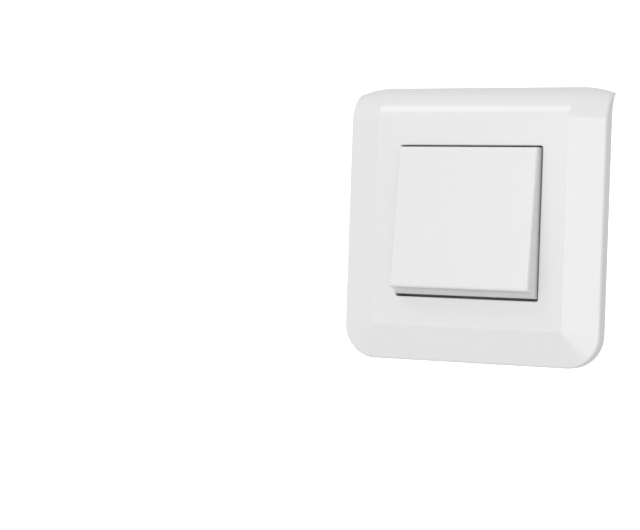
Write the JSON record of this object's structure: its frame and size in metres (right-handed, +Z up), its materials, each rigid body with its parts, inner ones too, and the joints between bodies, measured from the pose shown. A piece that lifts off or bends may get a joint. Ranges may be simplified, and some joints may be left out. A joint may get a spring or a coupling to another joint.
{
  "type": "two-way light switch",
  "caption": "White flush-mounted two-way light switch: a square cover plate whose top rolls back to the wall, round one wide rocker with a changeover contact behind it.",
  "frame": {"origin": "on the wall's surface, midway between the two box screws", "axes": "+X to the right as seen from the room, +Y into the wall, +Z up"},
  "size_m": [0.0816, 0.0396, 0.0825],
  "materials": {
    "white_plastic": "smooth glossy moulded plastic, white",
    "rocker_plastic": "smooth glossy moulded plastic, white",
    "frame_plastic": "satin moulded plastic, pale grey",
    "cover_plastic": "satin moulded plastic, off-white",
    "housing_plastic": "fine-textured moulded plastic, light grey",
    "cradle_plastic": "satin moulded plastic, off-white",
    "plunger_plastic": "slippery moulded plastic, natural",
    "lever_plastic": "satin moulded plastic, orange",
    "brass_strip": "stamped sheet, rolled finish",
    "spring_steel": "bright spring steel",
    "silver_contact": "riveted silver"
  },
  "bodies": {
    "base": {"cover_plate": "white_plastic", "support_frame": "frame_plastic", "module_cover": "cover_plastic", "module_housing": "housing_plastic", "common_strip": "brass_strip", "traveller_strip_upper": "brass_strip", "traveller_strip_lower": "brass_strip", "fixed_contact_upper": "silver_contact", "fixed_contact_lower": "silver_contact", "clamp_spring_common": "spring_steel", "clamp_spring_upper": "spring_steel", "clamp_spring_lower": "spring_steel"},
    "rocker": {"rocker": "rocker_plastic", "rocker_cradle": "cradle_plastic", "plunger_spring": "spring_steel"},
    "plunger": {"plunger": "plunger_plastic"},
    "contact_arm": {"contact_arm": "brass_strip", "moving_contact_upper": "silver_contact", "moving_contact_lower": "silver_contact"},
    "lever_common": {"release_lever_common": "lever_plastic"},
    "lever_upper": {"release_lever_upper": "lever_plastic"},
    "lever_lower": {"release_lever_lower": "lever_plastic"}
  },
  "joints": [
    {"name": "rocker_pivot", "type": "hinge", "parent": "base", "child": "rocker", "pos_m": [0, -0.0037, 0], "axis": [1, 0, 0], "range_deg": [0, 10.8]},
    {"name": "plunger_slide", "type": "slide", "parent": "rocker", "child": "plunger", "axis": [0, -0.9956, 0.0941], "range_m": [0, 0.0008], "stiffness_N_per_m": 300, "springref_m": -0.002, "deforming": ["plunger_spring"]},
    {"name": "contact_pivot", "type": "hinge", "parent": "base", "child": "contact_arm", "pos_m": [0, 0.0089, 0], "axis": [1, 0, 0], "range_deg": [-14, 0]},
    {"name": "common_release", "type": "slide", "parent": "base", "child": "lever_common", "axis": [0, -1, 0], "range_m": [0, 0.0012], "stiffness_N_per_m": 400, "deforming": ["clamp_spring_common"]},
    {"name": "upper_release", "type": "slide", "parent": "base", "child": "lever_upper", "axis": [0, -1, 0], "range_m": [0, 0.0012], "stiffness_N_per_m": 400, "deforming": ["clamp_spring_upper"]},
    {"name": "lower_release", "type": "slide", "parent": "base", "child": "lever_lower", "axis": [0, -1, 0], "range_m": [0, 0.0012], "stiffness_N_per_m": 400, "deforming": ["clamp_spring_lower"]}
  ],
  "couplings": [
    {"joint": "contact_pivot", "follows": "rocker_pivot", "ratio": -1.2963}
  ]
}
